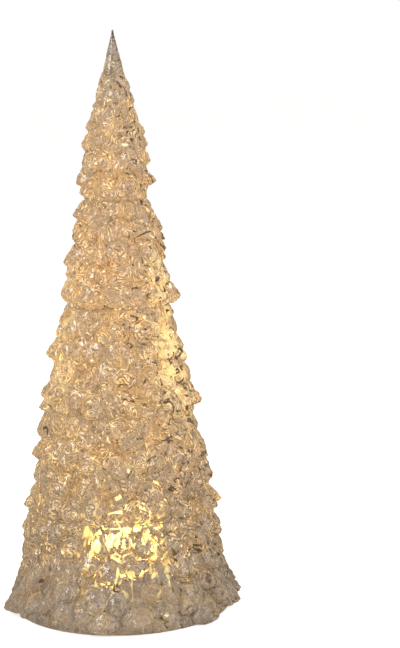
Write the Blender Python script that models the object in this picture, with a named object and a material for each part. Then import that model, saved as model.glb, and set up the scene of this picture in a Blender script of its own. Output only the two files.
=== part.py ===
"""A clear acrylic tabletop tree: five stacked mouldings over a battery lamp in a round base tray.

The tree stands on the rim of its lowest moulding, at z = 0, with its axis on Z and its
front towards -Y. Lengths are in metres.
"""

import math

import bmesh
import bpy
from mathutils import Matrix, Vector

MM = 0.001
GAP = 0.3 * MM  # between pieces that touch
MERGE = 0.01 * MM
CUT_MARGIN = 2 * MM  # how far a cutter runs past what it cuts

# The tree: a cone that ends in a spire
TIER_HEIGHTS = (57 * MM, 56 * MM, 57 * MM, 58 * MM, 92 * MM)  # from the lowest; the last is the spire
RIM_RADIUS = 60 * MM
WALL = 2.2 * MM
COLLAR_HEIGHT = 4 * MM
COLLAR_WALL = 1.3 * MM
SPIRE_SOLID = 46 * MM  # the last length of the spire has no hollow
SPIRE_TIP_RADIUS = 0.8 * MM

# Branch tips, in staggered rows
TIPS_PER_ROW = 16
TIP_ROWS = (5, 5, 6, 7, 10)  # in each moulding, from the lowest
TIP_REACH = (3.6 * MM, 3.6 * MM, 3.4 * MM, 3.2 * MM, 2.4 * MM)
SKIRT_REACH = (6.2 * MM, 6.0 * MM, 5.6 * MM, 5.0 * MM, 4.8 * MM)  # the lowest row of each moulding
TIP_UNDERCUT = 1.3 * MM  # height of the step below a tip
FURROW_SHARE = 0.25  # how far the furrow between two tips stands out, over the tip's reach
PLAIN_RIM = 3.4 * MM  # smooth band below the lowest row
PLAIN_SPIRE = 16 * MM  # smooth end of the spire
TREE_STEPS = 2 * TIPS_PER_ROW

# The tray, recessed into the rim and held by four screws
TRAY_RECESS = 1.5 * MM
TRAY_THICKNESS = 1.8 * MM
TRAY_STEPS = 48
POST_RADIUS = 3.6 * MM
POST_HEIGHT = 7.6 * MM
POST_INSET = 6.4 * MM  # from the rim's inner edge to the post's centre
POST_ANGLES = (45, 135, 225, 315)
RIB_WIDTH = 2.4 * MM
TRAY_SCREW_RADIUS = 1.3 * MM
TRAY_SCREW_LENGTH = 10 * MM
TRAY_SCREW_HEAD = (2.8 * MM, 1.5 * MM)  # radius and height
BOSS_FLOOR = 1.8 * MM  # left above the counterbore

# Three round cells, lying side by side along X
CELL_RADIUS = 7.1 * MM
CELL_LENGTH = 50.5 * MM
CELL_BUTTON = (2.75 * MM, 1.2 * MM)  # radius and height
CELL_GAP = 0.8 * MM  # between cells
CELL_PLAY = 0.5 * MM  # above and below
PLATE_THICKNESS = 0.4 * MM
PLATE_SIZE = 8 * MM
PLATE_TAB = (3 * MM, 3.4 * MM)  # width, and height above the bay's roof
SPRING_LENGTH = 4.4 * MM
SPRING_RADII = (4.1 * MM, 2.7 * MM)  # at its plate and at its cell
SPRING_WIRE = 0.35 * MM
SPRING_TURNS = 2.75
SPRING_POINTS_PER_TURN = 8
BAY_WALL = 1.6 * MM
BAY_ROOF = 1.6 * MM
BAY_RIB = (1.2 * MM, 2.8 * MM, 38 * MM)  # thickness, depth and length of the ribs between cells

# The battery door, hooked under the tray at -X and latched at +X
DOOR_CLEARANCE = 0.4 * MM
HOOK_WIDTH = 5 * MM
HOOK_REACH = 2.6 * MM
HOOK_THICKNESS = 1.1 * MM
LATCH_WIDTH = 12 * MM
LATCH_REACH = 4.8 * MM
LATCH_FIN = (1.2 * MM, 3.2 * MM)  # thickness and height above the door
LATCH_GRIP = 0.5 * MM

# The slide switch, screwed to the inside of the tray
SWITCH_FRAME = (19.8 * MM, 6.2 * MM, 0.5 * MM)
SWITCH_SCREW_SPACING = 15.2 * MM
SWITCH_HOUSING = (9.6 * MM, 5.8 * MM, 4.6 * MM)
SWITCH_PIN = (0.9 * MM, 0.5 * MM, 2.6 * MM)
SWITCH_PIN_PITCH = 2.6 * MM
SWITCH_BOSS = (2.3 * MM, 1.5 * MM)  # radius and height
SWITCH_SCREW_RADIUS = 0.9 * MM
SWITCH_SCREW_LENGTH = 3.6 * MM
SWITCH_SCREW_HEAD = (1.8 * MM, 1.1 * MM)
KNOB = (3.6 * MM, 2.6 * MM)
KNOB_FLANGE = (0.7 * MM, 0.5 * MM, 1.2 * MM)  # how far it stands out in X and Y, and height
KNOB_TRAVEL = 2.4 * MM
KNOB_STANDS_OUT = 0.7 * MM

# The lamp board, on three pillars above the bay
BOARD_RADIUS = 17 * MM
BOARD_THICKNESS = 1.2 * MM
BOARD_SCREW_INSET = 3.1 * MM  # from the board's edge
BOARD_SCREW_ANGLES = (90, 210, 330)
PILLAR = (2.4 * MM, 5 * MM)  # radius and height
BOARD_SCREW_RADIUS = 1.0 * MM
BOARD_SCREW_LENGTH = 4.4 * MM
BOARD_SCREW_HEAD = (2.1 * MM, 1.2 * MM)
LAMPS_IN_RING = 5
LAMP_RADIUS = 2.5 * MM
LAMP_HEIGHT = 8.6 * MM
LAMP_FLANGE = (0.4 * MM, 1.0 * MM)  # how far it stands out, and height
LAMP_CLEARANCE = 0.4 * MM  # from the lamps to the board's screws
LEG_SIZE = 0.5 * MM
LEG_SPACING = 2.54 * MM
LEG_BELOW_BOARD = 1.4 * MM
RESISTOR_ANGLES = (30, 150)
RESISTOR_INSET = 3 * MM  # from the board's edge
RESISTOR_BODY = (1.15 * MM, 6.2 * MM)  # radius and length
RESISTOR_SPAN = 10 * MM
RESISTOR_LEAD = 0.3 * MM
PAD_INSET = 3.5 * MM  # from the board's edge
PAD_ANGLE = 9  # degrees either side of the front
WIRE_RADIUS = 0.65 * MM
WIRE_POINT_SPACING = 3.2 * MM

# Places that several pieces share
CELL_PITCH = 2 * CELL_RADIUS + CELL_GAP
LAMP_REACH = LAMP_RADIUS + LAMP_FLANGE[0]
BOARD_SCREW_RING = BOARD_RADIUS - BOARD_SCREW_INSET
LAMP_RING = BOARD_SCREW_RING - BOARD_SCREW_HEAD[0] - LAMP_CLEARANCE - LAMP_REACH
RESISTOR_RING = BOARD_RADIUS - RESISTOR_INSET
TREE_HEIGHT = sum(TIER_HEIGHTS)
SPIRE = len(TIER_HEIGHTS) - 1
FLOOR_TOP = TRAY_RECESS + TRAY_THICKNESS
CELL_AXIS = FLOOR_TOP + CELL_PLAY + CELL_RADIUS
ROOF_BELOW = CELL_AXIS + CELL_RADIUS + CELL_PLAY
ROOF_TOP = ROOF_BELOW + BAY_ROOF
BOARD_BELOW = ROOF_TOP + PILLAR[1] + GAP
BOARD_TOP = BOARD_BELOW + BOARD_THICKNESS
BOSS_TOP = FLOOR_TOP + BOSS_FLOOR
SWITCH_FRAME_BELOW = FLOOR_TOP + SWITCH_BOSS[1] + GAP
SWITCH_FRAME_TOP = SWITCH_FRAME_BELOW + SWITCH_FRAME[2]
SWITCH_HOUSING_BELOW = SWITCH_FRAME_TOP + GAP
SWITCH_HOUSING_TOP = SWITCH_HOUSING_BELOW + SWITCH_HOUSING[2]

# The bay is as long as a cell, a contact at each end and one spring
BAY_HALF_LENGTH = (CELL_LENGTH + SPRING_LENGTH + 2 * PLATE_THICKNESS + 5 * GAP) / 2
BAY_HALF_WIDTH = CELL_PITCH + CELL_RADIUS + 2 * GAP
CELL_ROWS = (-CELL_PITCH, 0, CELL_PITCH)
RIM_INNER = RIM_RADIUS - WALL
POST_RING = RIM_INNER - POST_INSET
SWITCH_Y = -(BAY_HALF_WIDTH + BAY_WALL + RIM_INNER) / 2


def tree_radius(z):
    """Radius of the tree's cone between its branch tips."""
    return max(RIM_RADIUS * (1 - z / TREE_HEIGHT), SPIRE_TIP_RADIUS)


def joint_height(index):
    """Height of the joint on top of a moulding, counted from 0 at the lowest."""
    return sum(TIER_HEIGHTS[: index + 1])


def clear_scene():
    for obj in list(bpy.data.objects):
        bpy.data.objects.remove(obj, do_unlink=True)


def make_material(name, colour, roughness, metallic=0.0, transmission=0.0):
    made = bpy.data.materials.new(name)
    made.use_nodes = True
    shader = made.node_tree.nodes["Principled BSDF"]
    shader.inputs["Base Color"].default_value = (*colour, 1)
    shader.inputs["Roughness"].default_value = roughness
    shader.inputs["Metallic"].default_value = metallic
    shader.inputs["Transmission Weight"].default_value = transmission
    return made


def add_object(name, data, finish=None):
    obj = bpy.data.objects.new(name, data)
    bpy.context.scene.collection.objects.link(obj)
    if finish:
        obj.data.materials.append(finish)
    return obj


def object_from(name, bm, finish=None):
    """Takes a bmesh as it is, with its faces turned outwards."""
    bmesh.ops.remove_doubles(bm, verts=bm.verts, dist=MERGE)
    bmesh.ops.recalc_face_normals(bm, faces=bm.faces)
    mesh = bpy.data.meshes.new(name)
    bm.to_mesh(mesh)
    bm.free()
    mesh.shade_smooth()
    mesh.set_sharp_from_angle(angle=math.radians(35))
    return add_object(name, mesh, finish)


def as_helper(obj):
    """Marks an object that only cuts or adds to another."""
    obj.hide_render = True
    obj.display_type = "WIRE"
    return obj


def combine(obj, operation, helpers):
    for helper in helpers:
        modifier = obj.modifiers.new(helper.name, "BOOLEAN")
        modifier.operation = operation
        modifier.object = as_helper(helper)
    return obj


def hang(obj, name, place):
    """Parents a moving piece to an empty on its joint's axis."""
    pivot = bpy.data.objects.new(name, None)
    bpy.context.scene.collection.objects.link(pivot)
    pivot.location = place
    obj.parent = pivot
    obj.matrix_parent_inverse = Matrix.Translation(-Vector(place))


def join(obj, *helpers):
    return combine(obj, "UNION", helpers)


def cut(obj, *helpers):
    return combine(obj, "DIFFERENCE", helpers)


def box(name, low, high, finish=None):
    low, high = Vector(low), Vector(high)
    bm = bmesh.new()
    bmesh.ops.create_cube(bm, size=1)
    bmesh.ops.scale(bm, vec=high - low, verts=bm.verts)
    bmesh.ops.translate(bm, vec=(low + high) / 2, verts=bm.verts)
    return object_from(name, bm, finish)


def turned(name, outline, steps, finish=None, centre=(0, 0, 0)):
    """A closed outline of (radius, height) points, spun about a vertical line through centre."""
    bm = bmesh.new()
    corners = [bm.verts.new((radius, 0, height)) for radius, height in outline]
    edges = [bm.edges.new(pair) for pair in zip(corners, corners[1:])]
    if outline[0][0] > 0:
        edges.append(bm.edges.new((corners[-1], corners[0])))
    bmesh.ops.spin(
        bm, geom=corners + edges, cent=(0, 0, 0), axis=(0, 0, 1), angle=math.tau, steps=steps, use_merge=True
    )
    obj = object_from(name, bm, finish)
    obj.location = centre
    return obj


def rod(name, radius, low, high, steps, centre=(0, 0), finish=None):
    """An upright cylinder from height low to height high."""
    outline = [(0, low), (radius, low), (radius, high), (0, high)]
    return turned(name, outline, steps, finish, (*centre, 0))


def plate_along_x(name, outline, x, finish):
    """A flat outline of (y, z) points, one plate thick, with its lower face at x."""
    bm = bmesh.new()
    face = bm.faces.new([bm.verts.new((x, y, z)) for y, z in outline])
    grown = bmesh.ops.extrude_face_region(bm, geom=[face])["geom"]
    moved = [part for part in grown if isinstance(part, bmesh.types.BMVert)]
    bmesh.ops.translate(bm, vec=(PLATE_THICKNESS, 0, 0), verts=moved)
    return object_from(name, bm, finish)


def tube(name, points, radius, bevel_resolution, finish=None):
    """A round wire through the points, with closed ends."""
    curve = bpy.data.curves.new(name, "CURVE")
    curve.dimensions = "3D"
    curve.bevel_depth = radius
    curve.bevel_resolution = bevel_resolution
    curve.use_fill_caps = True
    spline = curve.splines.new("POLY")
    spline.points.add(len(points) - 1)
    for place, point in zip(spline.points, points):
        place.co = (*point, 1)
    return add_object(name, curve, finish)


def smooth_route(corners, spacing):
    """Evenly spaced points on a smooth curve through the corners."""
    corners = [Vector(corner) for corner in corners]
    ends = [2 * corners[0] - corners[1], *corners, 2 * corners[-1] - corners[-2]]
    points = []
    for before, start, end, after in zip(ends, ends[1:], ends[2:], ends[3:]):
        count = max(1, round((end - start).length / spacing))
        for step in range(count):
            t = step / count
            points.append(
                (
                    2 * start
                    + (end - before) * t
                    + (2 * before - 5 * start + 4 * end - after) * t**2
                    + (3 * start - before - 3 * end + after) * t**3
                )
                / 2
            )
    return [*points, corners[-1]]


def around(ring, degrees):
    angle = math.radians(degrees)
    return ring * math.cos(angle), ring * math.sin(angle)


def screw(name, shank_radius, shank_length, head, centre, head_at, points_up, finish):
    """A pan-head screw. head_at is the height of the head's flat underside."""
    head_radius, head_height = head
    crown = 0.75 * head_radius
    outline = [
        (0, shank_length),
        (0.55 * shank_radius, shank_length),
        (shank_radius, 0.84 * shank_length),
        (shank_radius, 0),
        (head_radius, 0),
        (head_radius, -0.55 * head_height),
        (crown, -head_height),
        (0, -head_height),
    ]
    obj = turned(name, outline, 12, finish)
    slot_half, slot_wide = 0.62 * head_radius, 0.13 * head_radius
    slot_top, slot_low = -0.5 * head_height, -2 * head_height
    first = box(name + "_slot_x", (-slot_half, -slot_wide, slot_low), (slot_half, slot_wide, slot_top))
    second = box(name + "_slot_y", (-slot_wide, -slot_half, slot_low), (slot_wide, slot_half, slot_top))
    cut(obj, first, second)
    turn = Matrix.Identity(4) if points_up else Matrix.Rotation(math.pi, 4, "X")
    for piece in (obj, first, second):
        piece.matrix_world = Matrix.Translation((*centre, head_at)) @ turn
    return obj


# The tree


def tip_rows(low, high, index):
    """(height, reach, odd) of each row of tips in the moulding between two heights, from below."""
    count = TIP_ROWS[index]
    first = low + (PLAIN_RIM if index == 0 else 0) + TIP_UNDERCUT
    last = high - (PLAIN_SPIRE if index == SPIRE else 0)
    pitch = (last - first) / count
    rows = []
    for row in range(count):
        fade = 1 - row / count if index == SPIRE else 1
        reach = SKIRT_REACH[index] if row == 0 else TIP_REACH[index] * fade
        rows.append((first + row * pitch, reach, (row + index) % 2))
    return rows


def push_out_tips(obj, rows):
    """Pulls every second corner of each row's ring out into a tip, and the furrows a little."""
    for vertex in obj.data.vertices:
        x, y, z = vertex.co
        radius = math.hypot(x, y)
        if radius < tree_radius(z) - WALL / 2:
            continue
        for height, reach, odd in rows:
            if abs(z - height) < MERGE:
                corner = round(math.atan2(y, x) / math.tau * TREE_STEPS)
                share = 1 if corner % 2 == odd else FURROW_SHARE
                grown = 1 + share * reach / radius
                vertex.co = (x * grown, y * grown, z)


def outer_outline(low, high, rows):
    """The cone's outline from below, with a ring at each row of tips and one below it."""
    heights = [low]
    for height, _, _ in rows:
        if height - TIP_UNDERCUT > low + MERGE:
            heights.append(height - TIP_UNDERCUT)
        heights.append(height)
    heights.append(high)
    return [(tree_radius(z), z) for z in heights]


def make_tier(index, finish):
    """One hollow moulding, with a collar on top that the next one sits over."""
    low = joint_height(index - 1) + GAP if index else 0
    high = joint_height(index)
    rows = tip_rows(low, high, index)
    collar_top = high + COLLAR_HEIGHT
    inside = [
        (tree_radius(high) - WALL - GAP, high),
        (tree_radius(collar_top) - WALL - GAP, collar_top),
        (tree_radius(collar_top) - WALL - GAP - COLLAR_WALL, collar_top),
        (tree_radius(high) - WALL - GAP - COLLAR_WALL, high),
        (tree_radius(high - COLLAR_HEIGHT) - WALL, high - COLLAR_HEIGHT),
        (tree_radius(low) - WALL, low),
    ]
    obj = turned(f"tier_{index + 1}", outer_outline(low, high, rows) + inside, TREE_STEPS, finish)
    push_out_tips(obj, rows)
    return obj


def make_spire(finish):
    """The top moulding: hollow below, solid towards its point."""
    low = joint_height(SPIRE - 1) + GAP
    hollow_top = TREE_HEIGHT - SPIRE_SOLID
    rows = tip_rows(low, TREE_HEIGHT, SPIRE)
    point = TREE_HEIGHT - SPIRE_TIP_RADIUS
    hollow = [(tree_radius(hollow_top) - WALL, hollow_top - WALL), (tree_radius(low) - WALL, low)]
    outline = [(0, hollow_top), *hollow]
    outline += outer_outline(low, point, rows)
    outline.append((0, TREE_HEIGHT))
    obj = turned(f"tier_{SPIRE + 1}_spire", outline, TREE_STEPS, finish)
    push_out_tips(obj, rows)
    return obj


def add_screw_posts(tier):
    """Posts inside the lowest moulding, tied to its wall, that take the tray's screws."""
    low = BOSS_TOP + GAP
    high = low + POST_HEIGHT
    wall_middle = (tree_radius(low) - WALL + tree_radius(high)) / 2
    for number, angle in enumerate(POST_ANGLES, 1):
        centre = around(POST_RING, angle)
        post = rod(f"post_{number}", POST_RADIUS, low, high, 16, centre)
        rib = box(f"post_rib_{number}", (POST_RING, -RIB_WIDTH / 2, low), (wall_middle, RIB_WIDTH / 2, high))
        rib.rotation_euler.z = math.radians(angle)
        join(tier, join(post, rib))
    for number, angle in enumerate(POST_ANGLES, 1):
        centre = around(POST_RING, angle)
        top = TRAY_RECESS + TRAY_SCREW_LENGTH + 2 * GAP + TRAY_SCREW_HEAD[1]
        cut(tier, rod(f"post_bore_{number}", TRAY_SCREW_RADIUS + GAP, low - CUT_MARGIN, top, 12, centre))


# The tray and what it carries


def make_tray(finish):
    """The round tray with its battery bay, its screw bosses and the lamp board's pillars."""
    edge = tree_radius(FLOOR_TOP) - WALL - GAP
    tray = rod("base_tray", edge, TRAY_RECESS, FLOOR_TOP, TRAY_STEPS, finish=finish)
    half_length, half_width = BAY_HALF_LENGTH + BAY_WALL, BAY_HALF_WIDTH + BAY_WALL
    low = TRAY_RECESS + TRAY_THICKNESS / 2
    join(tray, box("bay_block", (-half_length, -half_width, low), (half_length, half_width, ROOF_TOP)))
    for number, angle in enumerate(POST_ANGLES, 1):
        join(tray, rod(f"boss_{number}", POST_RADIUS + GAP, low, BOSS_TOP, 16, around(POST_RING, angle)))
    for side in (-1, 1):
        centre = (side * SWITCH_SCREW_SPACING / 2, SWITCH_Y)
        join(tray, rod(f"switch_boss_{side}", SWITCH_BOSS[0], low, FLOOR_TOP + SWITCH_BOSS[1], 12, centre))
    low, high = ROOF_TOP - BAY_ROOF / 2, ROOF_TOP + PILLAR[1]
    for number, angle in enumerate(BOARD_SCREW_ANGLES, 1):
        join(tray, rod(f"pillar_{number}", PILLAR[0], low, high, 12, around(BOARD_SCREW_RING, angle)))
    hollow_out_bay(tray)
    cut_screw_holes(tray)
    cut_switch_slot(tray)
    return tray


def hollow_out_bay(tray):
    """The bay's hollow, less two ribs that hang between the cells, and the ways for contacts and door."""
    low = (-BAY_HALF_LENGTH, -BAY_HALF_WIDTH, TRAY_RECESS - CUT_MARGIN)
    hollow = box("bay_hollow", low, (BAY_HALF_LENGTH, BAY_HALF_WIDTH, ROOF_BELOW))
    thickness, depth, length = BAY_RIB
    for number, y in enumerate((-CELL_PITCH / 2, CELL_PITCH / 2), 1):
        low = (-length / 2, y - thickness / 2, ROOF_BELOW - depth)
        high = (length / 2, y + thickness / 2, ROOF_BELOW + CUT_MARGIN)
        cut(hollow, box(f"bay_rib_{number}", low, high))
    cut(tray, hollow)
    for side, y in ((-1, CELL_ROWS[0]), (1, CELL_ROWS[2])):
        x = side * (BAY_HALF_LENGTH - GAP - PLATE_THICKNESS / 2)
        half = (PLATE_THICKNESS / 2 + GAP, PLATE_TAB[0] / 2 + GAP)
        low = (x - half[0], y - half[1], ROOF_BELOW - CUT_MARGIN)
        cut(tray, box(f"tab_slot_{side}", low, (x + half[0], y + half[1], ROOF_TOP + CUT_MARGIN)))
    sweep = math.hypot(HOOK_REACH + DOOR_CLEARANCE, TRAY_THICKNESS + GAP + HOOK_THICKNESS) + GAP
    for side in (-1, 1):
        y = side * CELL_PITCH / 2
        low = (-BAY_HALF_LENGTH - BAY_WALL - CUT_MARGIN, y - HOOK_WIDTH / 2 - GAP, FLOOR_TOP)
        high = (-BAY_HALF_LENGTH + CUT_MARGIN, y + HOOK_WIDTH / 2 + GAP, TRAY_RECESS + sweep)
        cut(tray, box(f"hook_window_{side}", low, high))
    half = LATCH_WIDTH / 2 + DOOR_CLEARANCE
    low = (BAY_HALF_LENGTH - CUT_MARGIN, -half, TRAY_RECESS - CUT_MARGIN)
    high = (BAY_HALF_LENGTH + LATCH_REACH + DOOR_CLEARANCE, half, FLOOR_TOP + GAP)
    cut(tray, box("latch_notch", low, high))


def cut_screw_holes(tray):
    head_room = TRAY_SCREW_HEAD[0] + GAP
    for number, angle in enumerate(POST_ANGLES, 1):
        centre = around(POST_RING, angle)
        low, high = TRAY_RECESS - CUT_MARGIN, TRAY_RECESS + TRAY_SCREW_HEAD[1] + GAP
        cut(tray, rod(f"head_room_{number}", head_room, low, high, 16, centre))
        cut(tray, rod(f"screw_way_{number}", TRAY_SCREW_RADIUS + GAP, low, BOSS_TOP + CUT_MARGIN, 12, centre))
    for side in (-1, 1):
        centre = (side * SWITCH_SCREW_SPACING / 2, SWITCH_Y)
        low = SWITCH_FRAME_TOP + GAP - SWITCH_SCREW_LENGTH - GAP
        top = FLOOR_TOP + SWITCH_BOSS[1] + CUT_MARGIN
        cut(tray, rod(f"switch_bore_{side}", SWITCH_SCREW_RADIUS + GAP, low, top, 12, centre))
    for number, angle in enumerate(BOARD_SCREW_ANGLES, 1):
        centre = around(BOARD_SCREW_RING, angle)
        low = BOARD_TOP + GAP - BOARD_SCREW_LENGTH - GAP
        top = ROOF_TOP + PILLAR[1] + CUT_MARGIN
        cut(tray, rod(f"pillar_bore_{number}", BOARD_SCREW_RADIUS + GAP, low, top, 12, centre))


def cut_switch_slot(tray):
    half_x = (KNOB[0] + KNOB_TRAVEL) / 2 + GAP
    half_y = KNOB[1] / 2 + GAP
    low = (-half_x, SWITCH_Y - half_y, TRAY_RECESS - CUT_MARGIN)
    cut(tray, box("knob_slot", low, (half_x, SWITCH_Y + half_y, FLOOR_TOP + CUT_MARGIN)))


def make_door(finish):
    """The battery door, with two hooks at -X and a latch tongue at +X, on the hinge line."""
    half_length, half_width = BAY_HALF_LENGTH - DOOR_CLEARANCE, BAY_HALF_WIDTH - DOOR_CLEARANCE
    low = (-half_length, -half_width, TRAY_RECESS)
    door = box("battery_door", low, (half_length, half_width, FLOOR_TOP), finish)
    hook_low, hook_high = FLOOR_TOP + GAP, FLOOR_TOP + GAP + HOOK_THICKNESS
    for side in (-1, 1):
        y = side * CELL_PITCH / 2
        near, far = y - HOOK_WIDTH / 2, y + HOOK_WIDTH / 2
        low = (-half_length, near, FLOOR_TOP - GAP)
        stem = box(f"hook_stem_{side}", low, (-half_length + HOOK_THICKNESS, far, hook_high))
        low = (-half_length - HOOK_REACH, near, hook_low)
        reach = box(f"hook_{side}", low, (-half_length + GAP, far, hook_high))
        join(door, join(stem, reach))
    half = LATCH_WIDTH / 2
    end = BAY_HALF_LENGTH + LATCH_REACH
    tongue = box("latch_tongue", (half_length - GAP, -half, TRAY_RECESS), (end, half, FLOOR_TOP))
    fin_at = BAY_HALF_LENGTH + BAY_WALL + 2 * GAP
    fin_low = (fin_at, -half * 0.6, FLOOR_TOP - GAP)
    fin = box("latch_fin", fin_low, (fin_at + LATCH_FIN[0], half * 0.6, FLOOR_TOP + LATCH_FIN[1]))
    join(door, tongue, fin)
    for number in range(3):
        x = end - (1 + 1.6 * number) * MM
        low = (x - LATCH_GRIP / 2, -half * 0.8, TRAY_RECESS - CUT_MARGIN)
        cut(door, box(f"grip_{number + 1}", low, (x + LATCH_GRIP / 2, half * 0.8, TRAY_RECESS + LATCH_GRIP)))
    hang(door, "door_hinge", (-half_length, 0, TRAY_RECESS))


def make_cell(number, row, finish):
    """A round cell with its button towards the flat contact: -X for the outer rows, +X for the middle."""
    button_radius, button_height = CELL_BUTTON
    body = CELL_LENGTH - button_height
    bevel = 0.5 * MM
    outline = [
        (0, 0),
        (CELL_RADIUS - bevel, 0),
        (CELL_RADIUS, bevel),
        (CELL_RADIUS, body - bevel),
        (CELL_RADIUS - bevel, body),
        (button_radius, body),
        (button_radius, body + button_height),
        (0, body + button_height),
    ]
    cell = turned(f"battery_cell_{number}", outline, 24, finish)
    towards = -1 if number != 2 else 1
    button_end = towards * (BAY_HALF_LENGTH - 2 * GAP - PLATE_THICKNESS)
    cell.rotation_euler.y = towards * math.pi / 2
    cell.location = (button_end - towards * CELL_LENGTH, row, CELL_AXIS)
    return cell


def contact_outline(rows, tab):
    """A plate across one or two cells, in (y, z), with a solder tab through the roof if it ends the chain."""
    half = PLATE_SIZE / 2
    low, high = min(rows) - half, max(rows) + half
    points = [(low, CELL_AXIS - half), (high, CELL_AXIS - half), (high, CELL_AXIS + half)]
    if tab:
        tab_half, tab_top = PLATE_TAB[0] / 2, ROOF_TOP + PLATE_TAB[1]
        middle = rows[0]
        points += [(middle + tab_half, CELL_AXIS + half), (middle + tab_half, tab_top)]
        points += [(middle - tab_half, tab_top), (middle - tab_half, CELL_AXIS + half)]
    return [*points, (low, CELL_AXIS + half)]


def make_contacts(finish):
    near = -BAY_HALF_LENGTH + GAP
    far = BAY_HALF_LENGTH - GAP - PLATE_THICKNESS
    first, middle, last = CELL_ROWS
    plate_along_x("contact_positive", contact_outline((first,), True), near, finish)
    plate_along_x("contact_link_near", contact_outline((middle, last), False), near, finish)
    plate_along_x("contact_link_far", contact_outline((first, middle), False), far, finish)
    plate_along_x("contact_negative", contact_outline((last,), True), far, finish)


def make_spring(number, row, finish):
    """A tapered coil between a contact plate and the flat end of a cell."""
    side = -1 if number == 2 else 1
    plate_face = BAY_HALF_LENGTH - GAP - PLATE_THICKNESS
    length = SPRING_LENGTH - 2 * SPRING_WIRE - GAP
    count = round(SPRING_TURNS * SPRING_POINTS_PER_TURN)
    points = []
    for step in range(count + 1):
        share = step / count
        ring = SPRING_RADII[0] + (SPRING_RADII[1] - SPRING_RADII[0]) * share
        angle = math.tau * SPRING_TURNS * share
        x = plate_face - GAP - SPRING_WIRE - length * share
        points.append((side * x, row + ring * math.cos(angle), CELL_AXIS + ring * math.sin(angle)))
    return tube(f"contact_spring_{number}", points, SPRING_WIRE, 1, finish)


def make_switch(frame_finish, housing_finish, knob_finish):
    length, width, _ = SWITCH_FRAME
    frame = box(
        "switch_frame",
        (-length / 2, SWITCH_Y - width / 2, SWITCH_FRAME_BELOW),
        (length / 2, SWITCH_Y + width / 2, SWITCH_FRAME_TOP),
        frame_finish,
    )
    half_x, half_y = (KNOB[0] + KNOB_TRAVEL) / 2 + GAP, KNOB[1] / 2 + GAP
    low = (-half_x, SWITCH_Y - half_y, SWITCH_FRAME_BELOW - CUT_MARGIN)
    cut(frame, box("frame_slot", low, (half_x, SWITCH_Y + half_y, SWITCH_FRAME_TOP + CUT_MARGIN)))
    for side in (-1, 1):
        centre = (side * SWITCH_SCREW_SPACING / 2, SWITCH_Y)
        low, high = SWITCH_FRAME_BELOW - CUT_MARGIN, SWITCH_FRAME_TOP + CUT_MARGIN
        cut(frame, rod(f"frame_hole_{side}", SWITCH_SCREW_RADIUS + GAP, low, high, 12, centre))
    length, width, _ = SWITCH_HOUSING
    housing = box(
        "switch_housing",
        (-length / 2, SWITCH_Y - width / 2, SWITCH_HOUSING_BELOW),
        (length / 2, SWITCH_Y + width / 2, SWITCH_HOUSING_TOP),
        housing_finish,
    )
    flange_x, flange_y = KNOB[0] / 2 + KNOB_FLANGE[0], KNOB[1] / 2 + KNOB_FLANGE[1]
    pocket_x, pocket_y = flange_x + KNOB_TRAVEL / 2 + GAP, flange_y + GAP
    low = (-pocket_x, SWITCH_Y - pocket_y, SWITCH_HOUSING_BELOW - CUT_MARGIN)
    high = (pocket_x, SWITCH_Y + pocket_y, SWITCH_HOUSING_BELOW + KNOB_FLANGE[2] + GAP)
    cut(housing, box("housing_pocket", low, high))
    pin_x, pin_y, pin_height = SWITCH_PIN
    for place in (-1, 0, 1):
        x = place * SWITCH_PIN_PITCH
        low = (x - pin_x / 2, SWITCH_Y - pin_y / 2, SWITCH_HOUSING_TOP - GAP)
        high = (x + pin_x / 2, SWITCH_Y + pin_y / 2, SWITCH_HOUSING_TOP + pin_height)
        join(housing, box(f"switch_pin_{place}", low, high))
    x = KNOB_TRAVEL / 2  # the knob rests at its +X end, switched on
    knob = box(
        "switch_knob",
        (x - KNOB[0] / 2, SWITCH_Y - KNOB[1] / 2, TRAY_RECESS - KNOB_STANDS_OUT),
        (x + KNOB[0] / 2, SWITCH_Y + KNOB[1] / 2, SWITCH_HOUSING_BELOW + GAP),
        knob_finish,
    )
    low = (x - flange_x, SWITCH_Y - flange_y, SWITCH_HOUSING_BELOW)
    high = (x + flange_x, SWITCH_Y + flange_y, SWITCH_HOUSING_BELOW + KNOB_FLANGE[2])
    join(knob, box("knob_flange", low, high))
    hang(knob, "switch_slide", (x, SWITCH_Y, SWITCH_HOUSING_BELOW))


def lamp_places():
    ring = [around(LAMP_RING, 90 + 360 * number / LAMPS_IN_RING) for number in range(LAMPS_IN_RING)]
    return [(0, 0), *ring]


def make_lamp(number, centre, finish):
    """A round-nosed light-emitting diode on two legs, which pass through the board."""
    low = BOARD_TOP + GAP
    flange_radius, flange_height = LAMP_REACH, LAMP_FLANGE[1]
    dome_low = low + LAMP_HEIGHT - LAMP_RADIUS
    outline = [(0, low), (flange_radius, low)]
    outline += [(radius, low + flange_height) for radius in (flange_radius, LAMP_RADIUS)]
    for degrees in (0, 45, 90):
        across, up = around(LAMP_RADIUS, degrees)
        outline.append((across if degrees < 90 else 0, dome_low + up))
    lamp = turned(f"lamp_{number}", outline, 12, finish)
    for side in (-1, 1):
        x = side * LEG_SPACING / 2
        leg_low = (x - LEG_SIZE / 2, -LEG_SIZE / 2, BOARD_BELOW - LEG_BELOW_BOARD)
        leg = box(f"lamp_{number}_leg_{side}", leg_low, (x + LEG_SIZE / 2, LEG_SIZE / 2, low + GAP))
        leg.location = (*centre, 0)
        join(lamp, leg)
    lamp.location = (*centre, 0)
    return lamp


def resistor_ends(angle):
    """The two places where a resistor's lead goes through the board."""
    middle = Vector(around(RESISTOR_RING, angle))
    along = Vector(around(RESISTOR_SPAN / 2, angle + 90))
    return middle - along, middle + along


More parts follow.
